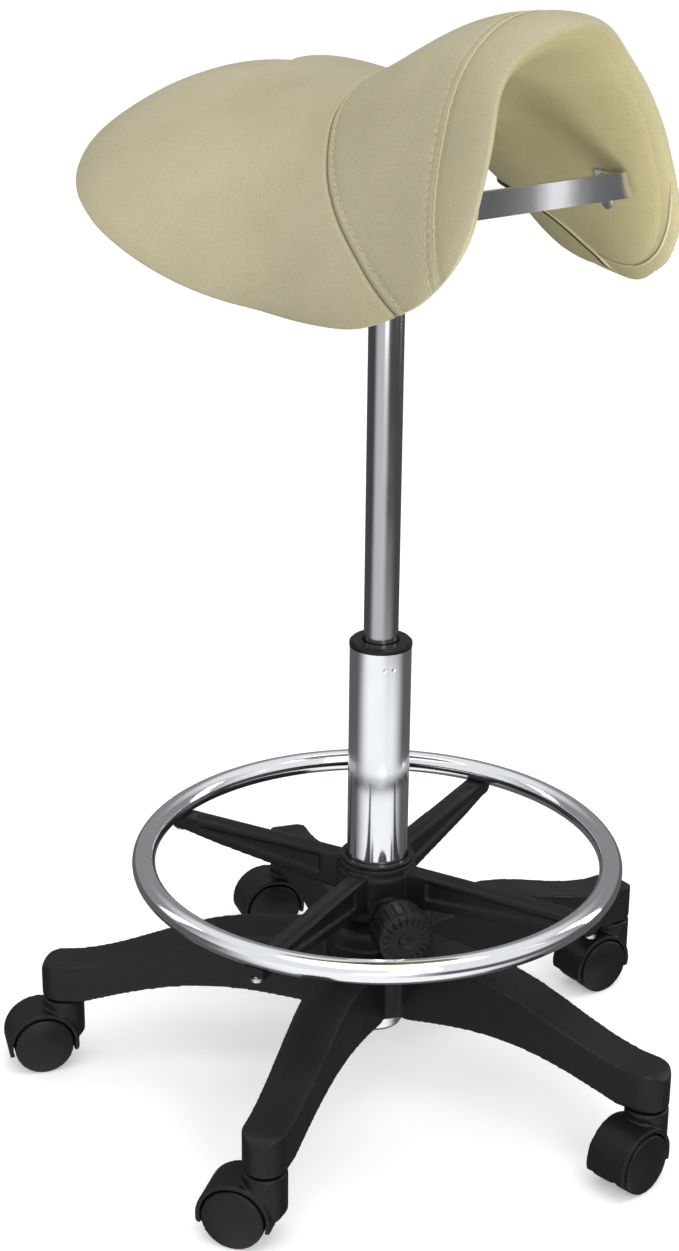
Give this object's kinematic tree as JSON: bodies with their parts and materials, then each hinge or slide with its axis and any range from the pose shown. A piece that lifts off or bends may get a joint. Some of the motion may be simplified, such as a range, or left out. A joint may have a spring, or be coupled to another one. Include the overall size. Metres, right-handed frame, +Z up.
{
  "type": "saddle stool",
  "caption": "Height-adjustable swivel saddle stool with padded saddle seat, gas lift column, sliding foot ring and five-leg base on twin-wheel casters.",
  "frame": {"origin": "point on the floor on the column's axis", "axes": "+Z up along the column; the sitter faces -Y, so the pommel is towards -Y and the sitter's right hand is towards -X"},
  "size_m": [0.5474, 0.5625, 0.898],
  "materials": {
    "black_nylon": "moulded nylon, fine spark texture, semi-gloss",
    "caster_nylon": "moulded nylon, satin",
    "knob_plastic": "moulded, ribbed, satin",
    "black_collar": "smooth semi-gloss plastic",
    "chrome": "polished chrome plate",
    "satin_steel": "ground satin steel",
    "zinc_steel": "zinc-plated",
    "dark_steel": "black oxide",
    "brass": "turned",
    "rubber": "moulded rubber",
    "black_paint": "black powder coat",
    "plywood": "bare plywood",
    "shell_plastic": "moulded shell",
    "khaki_leather": "smooth synthetic leather, topstitched seams"
  },
  "bodies": {
    "base": {"star_base": "black_nylon", "caster_stems": "zinc_steel", "outer_tube": "chrome", "tube_end_plate": "zinc_steel", "guide_bush": "black_collar"},
    "spindle": {"piston_rod": "zinc_steel", "piston": "zinc_steel", "thrust_bearing": "zinc_steel", "rubber_bumper": "rubber", "rod_retainer": "zinc_steel"},
    "ring_sleeve": {"ring_sleeve": "black_collar"},
    "foot_ring": {"ring_spider": "black_nylon", "foot_ring": "chrome", "ring_screws": "zinc_steel", "clamp_pad": "brass"},
    "clamp_knob": {"clamp_knob": "knob_plastic", "clamp_stud": "zinc_steel"},
    "seat": {"gas_cylinder": "satin_steel", "rod_seal": "rubber", "seat_plate": "black_paint", "plate_bolts": "dark_steel", "tee_nuts": "zinc_steel", "mounting_board": "plywood", "seat_shell": "shell_plastic", "saddle_cushion": "khaki_leather", "underside_liner": "khaki_leather", "front_bar": "chrome", "bar_screws": "zinc_steel", "lever_pin": "zinc_steel"},
    "height_lever": {"height_lever": "zinc_steel", "lever_grip": "black_collar"},
    "release_pin": {"release_pin": "zinc_steel"},
    "caster_1": {"caster_1_body": "caster_nylon", "caster_1_axle": "zinc_steel"},
    "caster_1_wheel_left": {"caster_1_wheel_left": "caster_nylon"},
    "caster_1_wheel_right": {"caster_1_wheel_right": "caster_nylon"},
    "caster_2": {"caster_2_body": "caster_nylon", "caster_2_axle": "zinc_steel"},
    "caster_2_wheel_left": {"caster_2_wheel_left": "caster_nylon"},
    "caster_2_wheel_right": {"caster_2_wheel_right": "caster_nylon"},
    "caster_3": {"caster_3_body": "caster_nylon", "caster_3_axle": "zinc_steel"},
    "caster_3_wheel_left": {"caster_3_wheel_left": "caster_nylon"},
    "caster_3_wheel_right": {"caster_3_wheel_right": "caster_nylon"},
    "caster_4": {"caster_4_body": "caster_nylon", "caster_4_axle": "zinc_steel"},
    "caster_4_wheel_left": {"caster_4_wheel_left": "caster_nylon"},
    "caster_4_wheel_right": {"caster_4_wheel_right": "caster_nylon"},
    "caster_5": {"caster_5_body": "caster_nylon", "caster_5_axle": "zinc_steel"},
    "caster_5_wheel_left": {"caster_5_wheel_left": "caster_nylon"},
    "caster_5_wheel_right": {"caster_5_wheel_right": "caster_nylon"}
  },
  "joints": [
    {"name": "seat_swivel", "type": "hinge", "parent": "base", "child": "spindle", "pos_m": [0, 0, 0.05], "axis": [0, 0, 1], "continuous": true},
    {"name": "seat_lift", "type": "slide", "parent": "spindle", "child": "seat", "axis": [0, 0, 1], "range_m": [-0.26, 0]},
    {"name": "lever_pull", "type": "hinge", "parent": "seat", "child": "height_lever", "pos_m": [-0.01556, 0.01556, 0.7682], "axis": [0.7071, 0.7071, 0], "range_deg": [0, 8], "stiffness_Nm_per_rad": 1.2, "springref_deg": -20.05},
    {"name": "release_press", "type": "slide", "parent": "seat", "child": "release_pin", "axis": [0, 0, 1], "range_m": [-0.0032, 0]},
    {"name": "ring_height", "type": "slide", "parent": "base", "child": "ring_sleeve", "axis": [0, 0, 1], "range_m": [0, 0.165]},
    {"name": "ring_turn", "type": "hinge", "parent": "ring_sleeve", "child": "foot_ring", "pos_m": [0, 0, 0.199], "axis": [0, 0, 1], "continuous": true},
    {"name": "knob_turn", "type": "hinge", "parent": "foot_ring", "child": "clamp_knob", "pos_m": [0, 0, 0.164], "axis": [-0.3746, -0.9272, 0], "range_deg": [0, 720]},
    {"name": "caster_1_swivel", "type": "hinge", "parent": "base", "child": "caster_1", "pos_m": [0.26473, -0.01202, 0.055], "axis": [0, 0, 1], "continuous": true},
    {"name": "caster_1_wheel_left_roll", "type": "hinge", "parent": "caster_1", "child": "caster_1_wheel_left", "pos_m": [0.24476, -0.01097, 0.025], "axis": [-0.0523, -0.9986, 0], "continuous": true},
    {"name": "caster_1_wheel_right_roll", "type": "hinge", "parent": "caster_1", "child": "caster_1_wheel_right", "pos_m": [0.24476, -0.01097, 0.025], "axis": [-0.0523, -0.9986, 0], "continuous": true},
    {"name": "caster_2_swivel", "type": "hinge", "parent": "base", "child": "caster_2", "pos_m": [0.09324, 0.24806, 0.055], "axis": [0, 0, 1], "continuous": true},
    {"name": "caster_2_wheel_left_roll", "type": "hinge", "parent": "caster_2", "child": "caster_2_wheel_left", "pos_m": [0.07422, 0.25424, 0.025], "axis": [-0.309, -0.9511, 0], "continuous": true},
    {"name": "caster_2_wheel_right_roll", "type": "hinge", "parent": "caster_2", "child": "caster_2_wheel_right", "pos_m": [0.07422, 0.25424, 0.025], "axis": [-0.309, -0.9511, 0], "continuous": true},
    {"name": "caster_3_swivel", "type": "hinge", "parent": "base", "child": "caster_3", "pos_m": [-0.2071, 0.16533, 0.055], "axis": [0, 0, 1], "continuous": true},
    {"name": "caster_3_wheel_left_roll", "type": "hinge", "parent": "caster_3", "child": "caster_3_wheel_left", "pos_m": [-0.22558, 0.17298, 0.025], "axis": [-0.3827, -0.9239, 0], "continuous": true},
    {"name": "caster_3_wheel_right_roll", "type": "hinge", "parent": "caster_3", "child": "caster_3_wheel_right", "pos_m": [-0.22558, 0.17298, 0.025], "axis": [-0.3827, -0.9239, 0], "continuous": true},
    {"name": "caster_4_swivel", "type": "hinge", "parent": "base", "child": "caster_4", "pos_m": [-0.22123, -0.14588, 0.055], "axis": [0, 0, 1], "continuous": true},
    {"name": "caster_4_wheel_left_roll", "type": "hinge", "parent": "caster_4", "child": "caster_4_wheel_left", "pos_m": [-0.23285, -0.12959, 0.025], "axis": [-0.8141, -0.5807, 0], "continuous": true},
    {"name": "caster_4_wheel_right_roll", "type": "hinge", "parent": "caster_4", "child": "caster_4_wheel_right", "pos_m": [-0.23285, -0.12959, 0.025], "axis": [-0.8141, -0.5807, 0], "continuous": true},
    {"name": "caster_5_swivel", "type": "hinge", "parent": "base", "child": "caster_5", "pos_m": [0.07037, -0.25549, 0.055], "axis": [0, 0, 1], "continuous": true},
    {"name": "caster_5_wheel_left_roll", "type": "hinge", "parent": "caster_5", "child": "caster_5_wheel_left", "pos_m": [0.05052, -0.25792, 0.025], "axis": [0.1219, -0.9925, 0], "continuous": true},
    {"name": "caster_5_wheel_right_roll", "type": "hinge", "parent": "caster_5", "child": "caster_5_wheel_right", "pos_m": [0.05052, -0.25792, 0.025], "axis": [0.1219, -0.9925, 0], "continuous": true}
  ],
  "couplings": [
    {"joint": "release_press", "follows": "lever_pull", "m_per_rad": -0.0214}
  ]
}
